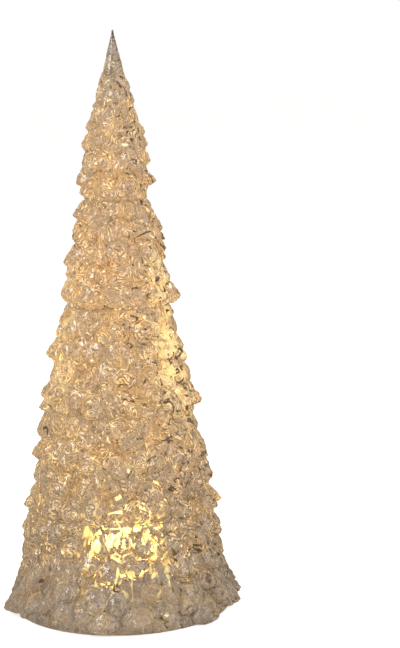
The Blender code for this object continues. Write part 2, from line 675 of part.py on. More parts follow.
def make_resistor(number, angle, finish):
    axis_height = BOARD_TOP + GAP + RESISTOR_BODY[0]
    start, end = resistor_ends(angle)
    below = BOARD_BELOW - LEG_BELOW_BOARD
    points = [(*start, below), (*start, axis_height), (*end, axis_height), (*end, below)]
    lead = tube(f"resistor_lead_{number}", points, RESISTOR_LEAD, 1)
    radius, length = RESISTOR_BODY
    pinch = 0.8 * radius
    outline = [(0, -length / 2), (pinch, -length / 2), (radius, -0.36 * length), (pinch, -0.18 * length)]
    outline += [(r, -z) for r, z in reversed(outline)]
    body = turned(f"resistor_{number}", outline, 12, finish)
    middle = (start + end) / 2
    body.rotation_euler = (0, math.pi / 2, math.radians(angle + 90))
    body.location = (*middle, axis_height)
    graph = bpy.context.evaluated_depsgraph_get()
    lead_mesh = bpy.data.meshes.new_from_object(lead.evaluated_get(graph))
    bpy.data.objects.remove(lead)
    return join(body, add_object(f"resistor_lead_{number}", lead_mesh))


def make_board(finish):
    board = rod("lamp_board", BOARD_RADIUS, BOARD_BELOW, BOARD_TOP, 36, finish=finish)
    low, high = BOARD_BELOW - CUT_MARGIN, BOARD_TOP + CUT_MARGIN
    for number, angle in enumerate(BOARD_SCREW_ANGLES, 1):
        centre = around(BOARD_SCREW_RING, angle)
        cut(board, rod(f"board_hole_{number}", BOARD_SCREW_RADIUS + GAP, low, high, 12, centre))
    leg_hole = (LEG_SIZE / 2 * math.sqrt(2) + GAP) / math.cos(math.pi / 6)
    for number, (x, y) in enumerate(lamp_places(), 1):
        for side in (-1, 1):
            centre = (x + side * LEG_SPACING / 2, y)
            cut(board, rod(f"leg_hole_{number}_{side}", leg_hole, low, high, 6, centre))
    for number, angle in enumerate(RESISTOR_ANGLES, 1):
        for side, centre in enumerate(resistor_ends(angle)):
            cut(board, rod(f"lead_hole_{number}_{side}", RESISTOR_LEAD + GAP, low, high, 6, centre))
    return board


def make_screws(finish):
    for number, angle in enumerate(POST_ANGLES, 1):
        screw(
            f"tray_screw_{number}",
            TRAY_SCREW_RADIUS,
            TRAY_SCREW_LENGTH,
            TRAY_SCREW_HEAD,
            around(POST_RING, angle),
            TRAY_RECESS + TRAY_SCREW_HEAD[1],
            True,
            finish,
        )
    for number, side in enumerate((-1, 1), 1):
        centre = (side * SWITCH_SCREW_SPACING / 2, SWITCH_Y)
        screw(
            f"switch_screw_{number}",
            SWITCH_SCREW_RADIUS,
            SWITCH_SCREW_LENGTH,
            SWITCH_SCREW_HEAD,
            centre,
            SWITCH_FRAME_TOP + GAP,
            False,
            finish,
        )
    for number, angle in enumerate(BOARD_SCREW_ANGLES, 1):
        screw(
            f"board_screw_{number}",
            BOARD_SCREW_RADIUS,
            BOARD_SCREW_LENGTH,
            BOARD_SCREW_HEAD,
            around(BOARD_SCREW_RING, angle),
            BOARD_TOP + GAP,
            False,
            finish,
        )


def make_wires(red, black):
    """Three insulated wires: cell to switch, switch to board, board back to the cells."""
    clear = WIRE_RADIUS + GAP
    tab_x = BAY_HALF_LENGTH - GAP - PLATE_THICKNESS - clear
    on_roof = ROOF_TOP + clear
    bay_side = -BAY_HALF_WIDTH - BAY_WALL - clear
    pin_top = SWITCH_HOUSING_TOP + SWITCH_PIN[2] + GAP
    tab_height = ROOF_TOP + PLATE_TAB[1] - clear
    pad_ring = BOARD_RADIUS - PAD_INSET
    left_pad, right_pad = around(pad_ring, 270 - PAD_ANGLE), around(pad_ring, 270 + PAD_ANGLE)
    board_edge = -BOARD_RADIUS - clear
    over_board = BOARD_TOP + 3 * MM
    side_pin = -SWITCH_PIN_PITCH
    to_switch = [
        (-tab_x, CELL_ROWS[0] + PLATE_TAB[0] / 3, tab_height),
        (-tab_x + 4 * MM, CELL_ROWS[0] - 1 * MM, on_roof + 0.4 * MM),
        (-tab_x + 9 * MM, bay_side + 4 * MM, on_roof + 0.9 * MM),
        (-tab_x + 13 * MM, bay_side - 1 * MM, on_roof + 0.4 * MM),
        (side_pin - 6 * MM, SWITCH_Y + 3 * MM, pin_top + 4.5 * MM),
        (side_pin - 1 * MM, SWITCH_Y, pin_top + 2.6 * MM),
        (side_pin, SWITCH_Y, pin_top),
    ]
    to_board = [
        (0, SWITCH_Y, pin_top),
        (0, SWITCH_Y, pin_top + 3 * MM),
        (-1 * MM, SWITCH_Y + 5 * MM, pin_top + 9 * MM),
        (left_pad[0], board_edge - 2 * MM, over_board - 1 * MM),
        (left_pad[0], left_pad[1] - 1.6 * MM, over_board),
        (*left_pad, BOARD_TOP + GAP),
    ]
    to_cells = [
        (*right_pad, BOARD_TOP + GAP),
        (right_pad[0], right_pad[1] - 1.6 * MM, over_board),
        (right_pad[0] + 3 * MM, board_edge - 1.5 * MM, BOARD_BELOW - 1 * MM),
        (BOARD_RADIUS - 2 * MM, -BOARD_RADIUS + 3 * MM, on_roof),
        (tab_x - 6 * MM, -4 * MM, on_roof),
        (tab_x - 3 * MM, CELL_ROWS[2] - 7 * MM, on_roof),
        (tab_x, CELL_ROWS[2] - PLATE_TAB[0] / 3, tab_height),
    ]
    tube("wire_to_switch", smooth_route(to_switch, WIRE_POINT_SPACING), WIRE_RADIUS, 2, red)
    tube("wire_to_board", smooth_route(to_board, WIRE_POINT_SPACING), WIRE_RADIUS, 2, red)
    tube("wire_to_cells", smooth_route(to_cells, WIRE_POINT_SPACING), WIRE_RADIUS, 2, black)


def main():
    clear_scene()
    acrylic = make_material("clear_acrylic", (0.93, 0.86, 0.74), 0.06, transmission=0.9)
    white = make_material("white_plastic", (0.86, 0.85, 0.82), 0.45)
    steel = make_material("nickel_steel", (0.72, 0.71, 0.69), 0.3, metallic=1.0)
    for index in range(SPIRE):
        tier = make_tier(index, acrylic)
        if index == 0:
            add_screw_posts(tier)
    make_spire(acrylic)
    make_tray(white)
    make_door(white)
    cell_finish = make_material("cell_wrap", (0.16, 0.17, 0.19), 0.35)
    for number, row in enumerate(CELL_ROWS, 1):
        make_cell(number, row, cell_finish)
        make_spring(number, row, steel)
    make_contacts(steel)
    resin = make_material("switch_resin", (0.12, 0.07, 0.04), 0.5)
    make_switch(steel, resin, make_material("black_plastic", (0.03, 0.03, 0.03), 0.4))
    make_board(make_material("board_white", (0.82, 0.84, 0.8), 0.35))
    lamp_finish = make_material("lamp_resin", (1.0, 0.86, 0.55), 0.1)
    for number, centre in enumerate(lamp_places(), 1):
        make_lamp(number, centre, lamp_finish)
    lacquer = make_material("resistor_lacquer", (0.72, 0.55, 0.36), 0.4)
    for number, angle in enumerate(RESISTOR_ANGLES, 1):
        make_resistor(number, angle, lacquer)
    make_screws(steel)
    red = make_material("wire_red", (0.6, 0.05, 0.04), 0.4)
    make_wires(red, make_material("wire_black", (0.03, 0.03, 0.03), 0.4))


main()
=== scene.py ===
"""A clear acrylic tabletop tree of five stacked mouldings, lit warm white from its base."""

import math
import random

import bmesh
import bpy
import numpy as np
from mathutils import Matrix, Vector, noise


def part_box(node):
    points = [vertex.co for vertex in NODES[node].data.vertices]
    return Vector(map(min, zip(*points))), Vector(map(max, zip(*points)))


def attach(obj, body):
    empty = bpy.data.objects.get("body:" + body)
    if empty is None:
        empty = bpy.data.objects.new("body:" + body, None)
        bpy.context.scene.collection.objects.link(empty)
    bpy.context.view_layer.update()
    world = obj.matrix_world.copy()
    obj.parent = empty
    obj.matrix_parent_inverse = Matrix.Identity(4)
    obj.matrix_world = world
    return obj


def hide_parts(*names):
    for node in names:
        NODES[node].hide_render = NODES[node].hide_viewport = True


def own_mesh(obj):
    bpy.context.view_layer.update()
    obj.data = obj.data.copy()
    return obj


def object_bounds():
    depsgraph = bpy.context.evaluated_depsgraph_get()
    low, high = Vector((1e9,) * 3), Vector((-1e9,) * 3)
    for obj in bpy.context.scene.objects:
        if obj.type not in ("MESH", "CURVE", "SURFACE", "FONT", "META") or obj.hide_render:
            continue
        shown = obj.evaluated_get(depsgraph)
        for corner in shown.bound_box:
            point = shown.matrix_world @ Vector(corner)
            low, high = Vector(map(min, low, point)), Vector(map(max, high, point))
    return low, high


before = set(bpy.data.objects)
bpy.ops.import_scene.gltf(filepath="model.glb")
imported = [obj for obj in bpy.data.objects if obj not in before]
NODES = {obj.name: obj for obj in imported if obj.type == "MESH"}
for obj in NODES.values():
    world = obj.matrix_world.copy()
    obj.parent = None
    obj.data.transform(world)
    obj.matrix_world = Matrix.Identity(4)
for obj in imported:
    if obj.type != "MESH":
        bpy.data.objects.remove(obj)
CAD_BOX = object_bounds()
MM = 0.001
HEIGHT = CAD_BOX[1].z
RIM = 60 * MM
WALL = 2.2 * MM
MERGE = 0.002 * MM  # points nearer than this are one
SPIRE = "tier_5_spire"
SPIRE_FOOT = 228 * MM  # where the spire begins to fill out
SPIRE_SWELL = 2.4 * MM
SPIRE_SOLID = 46 * MM  # length of its solid end
POINT_RADIUS = 0.5 * MM
JOINT_LAP = 4 * MM  # how far each moulding reaches into the next
JOINT_GAP = 0.3 * MM
JOINT_WALL = 1.3 * MM
SKIN_DEPTH = 0.9 * MM
LAMP_HEIGHT = 8.6 * MM  # from its flange to the top of its dome
SEED = random.Random(41)


# ---------------------------------------------------------------- materials


class Paint:
    """A material under construction: nodes are added and wired by name."""

    def __init__(self, name):
        self.material = bpy.data.materials.new(name)
        self.material.use_nodes = True
        self.tree = self.material.node_tree
        self.shader = self.tree.nodes["Principled BSDF"]
        self.place = self.tree.nodes.new("ShaderNodeTexCoord").outputs["Object"]

    def node(self, kind, inputs=None, **settings):
        made = self.tree.nodes.new("ShaderNode" + kind)
        for key, value in settings.items():
            setattr(made, key, value)
        for key, value in (inputs or {}).items():
            self.put(made.inputs[key], value)
        return made

    def put(self, socket, value):
        if isinstance(value, bpy.types.NodeSocket):
            self.tree.links.new(value, socket)
        else:
            socket.default_value = value

    def set(self, **values):
        """Sets the shader's own sockets; an underscore stands for a space."""
        for key, value in values.items():
            self.put(self.shader.inputs[key.replace("_", " ")], value)

    def stretched(self, scale):
        return self.node("Mapping", {"Vector": self.place, "Scale": scale}).outputs[0]

    def grain(self, size, detail=2.0, rough=0.5, distortion=0.0, vector=None):
        """Noise whose features are about size metres across."""
        inputs = {"Vector": vector or self.place, "Scale": 1 / size, "Detail": detail}
        inputs.update({"Roughness": rough, "Distortion": distortion})
        return self.node("TexNoise", inputs).outputs[0]

    def cells(self, size):
        """Rounded cells about size metres across."""
        return self.node("TexVoronoi", {"Vector": self.place, "Scale": 1 / size}).outputs["Distance"]

    def ramp(self, factor, *stops):
        """Colour ramp from (position, colour) stops."""
        made = self.node("ValToRGB", {0: factor})
        band = made.color_ramp
        while len(band.elements) < len(stops):
            band.elements.new(0.5)
        for element, (position, colour) in zip(band.elements, stops):
            element.position, element.color = position, (*colour, 1)
        return made.outputs[0]

    def fade(self, factor, low, high, start=0.0, end=1.0):
        """Goes smoothly from start to end as factor goes from low to high."""
        inputs = {"Value": factor, "From Min": low, "From Max": high, "To Min": start, "To Max": end}
        return self.node("MapRange", inputs, interpolation_type="SMOOTHSTEP").outputs[0]

    def maths(self, operation, first, second=0.0):
        return self.node("Math", {0: first, 1: second}, operation=operation).outputs[0]

    def times(self, first, *others):
        for other in others:
            first = self.maths("MULTIPLY", first, other)
        return first

    def plus(self, first, second):
        return self.maths("ADD", first, second)

    def mix(self, factor, first, second, blend="MIX"):
        made = self.node("Mix", data_type="RGBA", blend_type=blend)
        for index, value in ((0, factor), (6, first), (7, second)):
            if index and not isinstance(value, bpy.types.NodeSocket):
                value = (*value, 1)
            self.put(made.inputs[index], value)
        return made.outputs[2]

    def own(self, label):
        """A value that the piece's mesh carries."""
        return self.node("Attribute", attribute_name=label).outputs["Fac"]

    def azimuth(self):
        """Angle round the tree's axis, in radians from +X."""
        parts = self.node("SeparateXYZ", {"Vector": self.place}).outputs
        return self.maths("ARCTAN2", parts["Y"], parts["X"])

    def height(self):
        return self.node("SeparateXYZ", {"Vector": self.place}).outputs["Z"]

    def bump(self, height, distance, strength, normal=None):
        inputs = {"Height": height, "Distance": distance, "Strength": strength}
        if normal:
            inputs["Normal"] = normal
        return self.node("Bump", inputs).outputs[0]


def acrylic_paint():
    """Clear acrylic with a fine swirled surface, with the lamps' warm light painted into it as glows and
    glints, and painted shade round and under the tips.
    """
    paint = Paint("clear_acrylic")
    stand, under = paint.own("stand"), paint.own("under")
    tall = paint.maths("DIVIDE", paint.height(), HEIGHT)
    # fingerprint-like lines that run round the tips and wander between them
    wander = paint.grain(8 * MM, 2, 0.5, 0.6)
    phase = paint.plus(paint.times(wander, 62), paint.times(stand, 22))
    lines = paint.fade(paint.maths("SINE", phase), -1, 1)
    fine = paint.grain(1.6 * MM, 2, 0.6, 1.0)
    # the body's colour from the rim to the point of the spire; it is darker at the rim, which is painted
    # shade where less of the lamps' light reaches, and greyer towards the point
    body = paint.ramp(
        tall,
        (0.0, (0.33, 0.27, 0.22)),
        (0.12, (0.345, 0.275, 0.21)),
        (0.30, (0.49, 0.37, 0.25)),
        (0.60, (0.54, 0.39, 0.26)),
        (0.84, (0.51, 0.385, 0.265)),
        (0.93, (0.42, 0.36, 0.30)),
        (1.0, (0.31, 0.30, 0.285)),
    )
    patch = paint.ramp(
        paint.grain(11 * MM, 2, 0.5, 0.5),
        (0.34, (0.90, 0.92, 0.96)),
        (0.48, (1.0, 1.0, 1.0)),
        (0.62, (1.14, 1.02, 0.80)),
    )
    # painted light and shade: the lines and the fine grain darken the colour in troughs and lighten it to
    # painted highlights on their crests
    shade = paint.ramp(
        paint.plus(paint.times(lines, 0.32), paint.times(fine, 0.68)),
        (0.22, (0.60, 0.56, 0.51)),
        (0.40, (0.88, 0.86, 0.83)),
        (0.58, (1.10, 1.08, 1.04)),
        (0.76, (1.60, 1.54, 1.36)),
    )
    # the lines soften towards the rim
    shade = paint.mix(paint.fade(tall, 0.06, 0.14, 0.5, 1.0), (0.96, 0.94, 0.91), shade)
    # painted shade: each tip is darker round its foot, with a painted highlight as a paler crescent just
    # inside
    painted_foot_shade_and_highlight = paint.ramp(
        stand,
        (0.0, (0.92, 0.90, 0.88)),
        (0.05, (0.70, 0.66, 0.62)),
        (0.14, (1.0, 0.99, 0.97)),
        (0.24, (1.14, 1.12, 1.06)),
        (0.6, (1.03, 1.03, 1.03)),
    )
    # painted light: thin gold arcs along the crests of the lines
    painted_gold_arcs = paint.times(paint.fade(lines, 0.72, 1.0), paint.fade(paint.grain(6.5 * MM, 2), 0.50, 0.64))
    # painted shade: dark slivers, more of them on the +X side and under the tips
    around = paint.azimuth()
    right = paint.fade(paint.maths("COSINE", around), -0.4, 0.9)
    painted_shade_bias = paint.plus(paint.times(under, 0.04), paint.times(right, 0.09))
    painted_shade_noise = paint.maths("SUBTRACT", paint.grain(7.5 * MM, 2, 0.5, 2.4), painted_shade_bias)
    painted_shade_slivers = paint.fade(painted_shade_noise, 0.325, 0.27)
    colour = paint.mix(1.0, paint.mix(1.0, body, patch, "MULTIPLY"), shade, "MULTIPLY")
    colour = paint.mix(1.0, colour, painted_foot_shade_and_highlight, "MULTIPLY")
    colour = paint.mix(painted_shade_slivers, colour, (0.10, 0.062, 0.036))
    # painted light caught in small glints, and in broad bands up the sides
    glints = paint.ramp(
        paint.grain(5.0 * MM, 2, 0.5, 2.4, paint.stretched((1, 1, 0.7))),
        (0.62, (0.0, 0.0, 0.0)),
        (0.68, (0.6, 0.42, 0.16)),
        (0.74, (2.2, 1.8, 1.0)),
    )
    third = paint.times(paint.plus(around, math.radians(35)), 3)
    band = paint.times(
        paint.fade(paint.maths("COSINE", third), 0.35, 0.95),
        paint.fade(tall, 0.30, 0.42),
        paint.fade(tall, 0.68, 0.56),
        paint.fade(paint.grain(8 * MM, 2, 0.5, 1.0), 0.38, 0.60),
        paint.fade(right, 0.0, 1.0, 0.35, 1.0),
    )
    painted_gold_glow = paint.mix(1.0, paint.mix(band, (0.03, 0.02, 0.006), (1.1, 0.85, 0.34)), shade, "MULTIPLY")
    painted_gold_glow = paint.mix(painted_gold_arcs, painted_gold_glow, (1.0, 0.66, 0.26))
    # painted light: tall flames low on the tree, over the lamps
    painted_flame = paint.ramp(
        paint.grain(4.2 * MM, 1, 0.5, 0.5, paint.stretched((1, 1, 0.36))),
        (0.56, (0, 0, 0)),
        (0.60, (1.1, 0.66, 0.10)),
        (0.66, (2.3, 1.9, 0.5)),
    )
    third = paint.times(paint.plus(around, math.radians(90)), 3)
    over = paint.times(
        paint.fade(paint.maths("COSINE", third), -0.1, 0.55),
        paint.fade(tall, 0.035, 0.08),
        paint.fade(tall, 0.24, 0.15),
    )
    painted_gold_glow = paint.mix(over, painted_gold_glow, painted_flame, "ADD")
    bright = paint.times(paint.fade(tall, 0.02, 0.16, 0.12, 1.0), paint.fade(tall, 0.98, 0.88, 0.3, 1.0))
    normal = paint.bump(paint.grain(3.2 * MM, 2, 0.5, 1.4), 0.7 * MM, 0.4)
    normal = paint.bump(paint.cells(5 * MM), 0.9 * MM, 0.25, normal)
    # painted light: the glints, bands, arcs and flames glow as emission, with none in the painted shade
    # slivers
    paint.set(
        Base_Color=colour,
        Transmission_Weight=0.58,
        Roughness=0.08,
        IOR=1.49,
        Normal=normal,
        Emission_Color=paint.mix(painted_shade_slivers, paint.mix(1.0, painted_gold_glow, glints, "ADD"), (0, 0, 0)),
        Emission_Strength=paint.times(bright, 0.5),
    )
    return paint.material


def lining_paint():
    """The inner faces of the mouldings, rippled, with the lamps' light painted on them as a faint streaked
    glow.
    """
    paint = Paint("lining")
    streaks = paint.grain(4 * MM, 3, 0.65, 2.0, paint.stretched((1, 1, 0.6)))
    # painted light: a faint glow of the lamps in warm streaks
    painted_lamp_glow = paint.ramp(
        streaks,
        (0.40, (0.01, 0.006, 0.003)),
        (0.50, (0.10, 0.06, 0.025)),
        (0.62, (0.60, 0.42, 0.18)),
    )
    paint.set(
        Base_Color=(0.90, 0.76, 0.56, 1),
        Transmission_Weight=0.85,
        Roughness=0.18,
        IOR=1.49,
        Normal=paint.bump(paint.grain(12 * MM, 1, 0.5, 0.8, paint.stretched((1.8, 1.8, 0.7))), 6 * MM, 0.9),
        Emission_Color=painted_lamp_glow,
        Emission_Strength=0.12,
    )
    return paint.material


def plastic_paint(name, colour, roughness):
    """Moulded plastic with a fine texture and a faint unevenness of shade."""
    paint = Paint(name)
    cloud = paint.grain(14 * MM, 3)
    darker = tuple(0.95 * part for part in colour)
    shade = paint.mix(paint.fade(cloud, 0.35, 0.65), darker, colour)
    texture = paint.grain(0.5 * MM, 2)
    paint.set(
        Base_Color=shade,
        Roughness=paint.fade(cloud, 0.3, 0.7, roughness * 0.85, roughness * 1.15),
        Normal=paint.bump(texture, 0.03 * MM, 0.6),
    )
    return paint.material


def metal_paint(name, colour, roughness):
    """Nickel plate with fine drawing lines and a few dull patches."""
    paint = Paint(name)
    lines = paint.grain(0.5 * MM, 2, 0.6, 0.0, paint.stretched((1, 1, 12)))
    patches = paint.grain(4 * MM, 3)
    shade = paint.mix(paint.fade(patches, 0.4, 0.7), colour, tuple(0.72 * part for part in colour))
    paint.set(
        Base_Color=shade,
        Metallic=1.0,
        Roughness=paint.fade(lines, 0.3, 0.7, roughness * 0.7, roughness * 1.3),
        Normal=paint.bump(lines, 0.02 * MM, 0.4),
    )
    return paint.material


def lamp_paint():
    """Warm-white resin dome, brightest over its chip."""
    paint = Paint("lamp_resin")
    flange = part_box("lamp_1")[1].z - LAMP_HEIGHT
    rise = paint.fade(paint.height(), flange, flange + 7 * MM)
    glow = paint.ramp(
        rise,
        (0.0, (1.0, 0.56, 0.10)),
        (0.5, (1.0, 0.73, 0.18)),
        (1.0, (1.0, 0.83, 0.28)),
    )
    paint.set(
        Base_Color=paint.mix(rise, (1.0, 0.7, 0.3), (1.0, 0.86, 0.6)),
        Roughness=0.12,
        Emission_Color=glow,
        Emission_Strength=18.0,
    )
    return paint.material


def board_paint():
    """White lacquer over the board's weave."""
    paint = Paint("board_white")
    cloud = paint.grain(3 * MM, 2)
    paint.set(
        Base_Color=paint.mix(paint.fade(cloud, 0.4, 0.6), (0.80, 0.80, 0.74), (0.88, 0.88, 0.84)),
        Roughness=0.12,
    )
    return paint.material


# ---------------------------------------------------------------- mouldings


def cone(z):
    """Radius of the tree between its tips, slightly full along the spire."""
    swell = np.clip((z - SPIRE_FOOT) / (HEIGHT - SPIRE_FOOT), 0, 1)
    straight = np.maximum(RIM * (1 - z / HEIGHT), POINT_RADIUS)
    return straight + SPIRE_SWELL * np.sin(np.pi * swell**0.8)


def bore(z):
    """Radius of the hollow inside the mouldings."""
    return RIM * (1 - z / HEIGHT) - WALL


class Tip:
    """One moulded branch tip: where its point is, and how wide, long and proud it is."""

    def __init__(self, angle, z, half, above, below, reach):
        self.angle, self.z, self.half = angle, z, half
        self.above, self.below, self.reach = above, below, reach
        self.lean = SEED.uniform(-0.4, 0.4)
        self.rings = SEED.uniform(2.2, 3.6)
        self.blunt = SEED.uniform(0.02, 0.16)


def row_of_tips(number, count, z, reach, length):
    """A row of tips round the tree, each standing over the furrow between two of the row below."""
    pitch = math.tau * (float(cone(z)) + reach / 2) / count
    tips = []
    for place in range(count):
        angle = math.tau * (place + number % 2 / 2 + SEED.uniform(-0.3, 0.3)) / count
        half = pitch * SEED.uniform(0.46, 0.7)
        above = length * SEED.uniform(0.55, 0.95)
        below = length * SEED.uniform(0.36, 0.6)
        height = z + SEED.uniform(-0.3, 0.3) * length
        tips.append(Tip(angle, height, half, above, below, reach * SEED.uniform(0.5, 1.2)))
    return tips


def buds(low, high):
    """Small knobs scattered between the rows of tips."""
    patch = 55 * MM * MM  # surface to each knob
    count = round(math.tau * float(cone((low + high) / 2)) * (high - low) / patch)
    found = []
    for _ in range(count):
        z = low + (high - low) * SEED.random()
        size = SEED.uniform(2.0, 4.4) * MM * (0.6 + 0.4 * float(cone(z)) / RIM)
        angle, reach = SEED.uniform(0, math.tau), size * SEED.uniform(0.4, 0.75)
        found.append(Tip(angle, z, size, size, size * 0.7, reach))
    return found


def raise_tips(x, y, z, tips):
    """How far each point stands out and droops, its share of its tip's height, and how far under it is."""
    angle = np.arctan2(y, x)
    radius = cone(z)
    out = np.zeros_like(z)
    droop = np.zeros_like(z)
    stand = np.zeros_like(z)
    under = np.zeros_like(z)
    for tip in tips:
        across = (np.mod(angle - tip.angle + np.pi, math.tau) - np.pi) * radius
        above = z - tip.z
        level = (above > -tip.below) & (above < tip.above)
        near = np.nonzero((np.abs(across) < tip.half * 1.4) & level)[0]
        if not len(near):
            continue
        s, t = across[near], above[near]
        s = s - tip.lean * t * 0.5
        tall = np.where(t > 0, t / tip.above, t / tip.below)
        spread = np.sqrt((s / tip.half) ** 2 + tall**2)
        rounded = np.sqrt(spread**2 + tip.blunt) - math.sqrt(tip.blunt)
        rise = np.clip(1 - rounded, 0, 1) ** 1.25 * np.clip((1 - spread) * 6, 0, 1)
        rings = np.cos(math.tau * tip.rings * spread) * np.clip((1 - spread) * 5, 0, 1)
        lift = tip.reach * rise + 0.035 * tip.reach * rings
        better = lift > out[near]
        out[near] = np.where(better, lift, out[near])
        droop[near] = np.where(better, 0.16 * tip.reach * rise**2, droop[near])
        stand[near] = np.where(better, rise, stand[near])
        under[near] = np.where(better, np.clip(-t / tip.below, 0, 1), under[near])
    return out, droop, stand, under


def ripple(points, amount):
    """Uneven surface, as moulded from a carved pattern."""
    coarse = np.array([noise.noise(Vector(point) * 210) for point in points])
    fine = np.array([noise.noise(Vector(point) * 520) for point in points])
    return amount * (coarse + 0.4 * fine)


def spun(outline, steps):
    """An outline of (radius, height) points spun about Z. One that starts off the axis is a closed ring."""
    bm = bmesh.new()
    corners = [bm.verts.new((radius, 0, height)) for radius, height in outline]
    edges = [bm.edges.new(pair) for pair in zip(corners, corners[1:])]
    if outline[0][0] > 0:
        edges.append(bm.edges.new((corners[-1], corners[0])))
    bmesh.ops.spin(
        bm,
        geom=corners + edges,
        cent=(0, 0, 0),
        axis=(0, 0, 1),
        angle=math.tau,
        steps=steps,
        use_merge=True,
    )
    bmesh.ops.remove_doubles(bm, verts=bm.verts, dist=MERGE)
    bmesh.ops.recalc_face_normals(bm, faces=bm.faces)
    return bm


def put_in_scene(bm, name):
    mesh = bpy.data.meshes.new(name)
    bm.to_mesh(mesh)
    bm.free()
    obj = bpy.data.objects.new(name, mesh)
    bpy.context.scene.collection.objects.link(obj)
    return obj


def along(start, end, count):
    """Heights from start to end, both in."""
    return [start + (end - start) * step / count for step in range(count + 1)]


def moulding_outline(node, top, layers):
    """Half-section of a moulding: up its outside from the lower lip, and back down its bore."""
    low, high = (corner.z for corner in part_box(node))
    blunt = 0.9 * MM if node == SPIRE else 0
    outside = [(float(cone(z)), z) for z in along(low, top - blunt, layers)]
    lip = 0.5 * MM
    base = float(cone(low))
    outside = [(base - 2 * lip, low), (base - 0.3 * lip, low + 0.3 * lip), *outside[1:]]
    if node == SPIRE:
        hollow = HEIGHT - SPIRE_SOLID
        inside = [(bore(z), z) for z in along(low, hollow - WALL, 14)]
        return [(0, hollow), *reversed(inside), *outside, (0, HEIGHT)]
    collar = [(float(cone(z)) - WALL - JOINT_GAP, z) for z in (top, high)]
    inner = [(radius - JOINT_WALL, z) for radius, z in reversed(collar)]
    inside = [(bore(z), z) for z in along(top - JOINT_LAP, low, 10)]
    return [*outside, *collar, *inner, *inside]


def draw_out(mesh, points, chosen, tips, low):
    """Draws the chosen points out into tips, and keeps the paint's measures of them on the mesh."""
    x, y, z = points[chosen].T
    radius = np.hypot(x, y)
    out, droop, stand, under = raise_tips(x, y, z, tips)
    for label, values in (("stand", stand), ("under", under)):
        whole = np.zeros(len(points))
        whole[chosen] = values
        mesh.attributes.new(label, "FLOAT", "POINT").data.foreach_set("value", whole)
    # the ripple dies away at the lower lip and towards the spire's point
    roll = ripple(points[chosen], 0.55 * MM) * np.clip((z - low - 0.6 * MM) / (2 * MM), 0, 1)
    if mesh.name.startswith(SPIRE):
        roll *= np.clip((HEIGHT - z) / (30 * MM), 0.15, 1)
    grown = (out + roll + radius) / np.maximum(radius, 1e-6)
    points[chosen, 0] *= grown
    points[chosen, 1] *= grown
    points[chosen, 2] = np.maximum(z - droop, low + (z - low) * 0.15)


def make_moulding(node, rows, steps, layers, acrylic, lining):
    """One clear moulding: a spun wall whose outside is drawn out into tips."""
    low, high = (corner.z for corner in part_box(node))
    top = HEIGHT if node == SPIRE else high - JOINT_LAP
    obj = put_in_scene(spun(moulding_outline(node, top, layers), steps), node + "_shell")
    mesh = obj.data
    points = np.empty(len(mesh.vertices) * 3)
    mesh.vertices.foreach_get("co", points)
    points = points.reshape(-1, 3)
    radius, z = np.hypot(points[:, 0], points[:, 1]), points[:, 2].copy()
    skin = (radius > cone(z) - SKIN_DEPTH) & (z < top - 0.2 * MM)
    tips = [tip for number, row in enumerate(rows) for tip in row_of_tips(number, TIPS[node], *row)]
    tips += buds(low + 2 * MM, min(top, HEIGHT - 28 * MM))
    draw_out(mesh, points, np.nonzero(skin)[0], tips, low)
    # the bore is rippled too, towards the axis and clear of the joint
    hidden = np.nonzero(~skin & (z < top - 4.5 * MM) & (radius > 2 * MM))[0]
    deepest = 0.35 * MM
    wave = ripple(points[hidden] * 0.6, deepest)
    for axis in (0, 1):
        points[hidden, axis] *= 1 - (wave + deepest) / radius[hidden]
    mesh.vertices.foreach_set("co", points.ravel())
    mesh.materials.append(acrylic)
    mesh.materials.append(lining)
    is_skin = skin.tolist()
    for polygon in mesh.polygons:
        polygon.material_index = 0 if any(is_skin[index] for index in polygon.vertices) else 1
    mesh.shade_smooth()
    mesh.update()
    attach(obj, "tree")
    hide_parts(node)
    obj.visible_shadow = False


# rows of tips in each moulding: height of the points, reach and length, in mm
ROWS = {
    "tier_1": [(8.0, 8.6, 12), (18, 6.6, 13), (31.5, 4.8, 12), (46, 6.2, 12), (54.5, 2.8, 6)],
    "tier_2": [(62, 7.2, 10), (76, 5.0, 12), (89, 6.4, 13), (103, 5.2, 12), (110.5, 2.8, 6)],
    "tier_3": [(120, 7.6, 12), (133, 4.8, 11), (145, 6.4, 13), (158, 5.0, 11), (167, 2.8, 6)],
    "tier_4": [(176, 7.0, 11), (187, 4.8, 10), (198, 6.6, 12), (210, 4.8, 10), (220, 4.6, 9)],
    SPIRE: [
        (236, 6.2, 10),
        (247, 4.6, 10),
        (257, 4.0, 9),
        (266, 3.4, 9),
        (274.5, 2.8, 8),
        (283, 2.2, 8),
        (291, 1.3, 7),
    ],
}
TIPS = {"tier_1": 26, "tier_2": 23, "tier_3": 19, "tier_4": 16, SPIRE: 11}
# steps round each moulding and layers up it
DENSITY = {
    "tier_1": (600, 96),
    "tier_2": (500, 94),
    "tier_3": (400, 94),
    "tier_4": (320, 98),
    SPIRE: (240, 150),
}

clear_acrylic, lining = acrylic_paint(), lining_paint()
for node_name, rows in ROWS.items():
    steps, layers = DENSITY[node_name]
    make_moulding(
        node_name,
        [tuple(value * MM for value in row) for row in rows],
        steps,
        layers,
        clear_acrylic,
        lining,
    )


# ---------------------------------------------------------------- finishes of the inner pieces


def finish_nodes(material, *names):
    for name in names:
        NODES[name].data.materials.clear()
        NODES[name].data.materials.append(material)


def finished(bm, name, node, body, slot, *materials):
    """Turns a bmesh into a smooth-shaded piece that takes a node's place."""
    obj = put_in_scene(bm, name)
    for material in materials:
        obj.data.materials.append(material)
    obj.data.shade_smooth()
    obj.data.set_sharp_from_angle(angle=math.radians(40))
    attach(obj, body)
    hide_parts(node)
    return obj


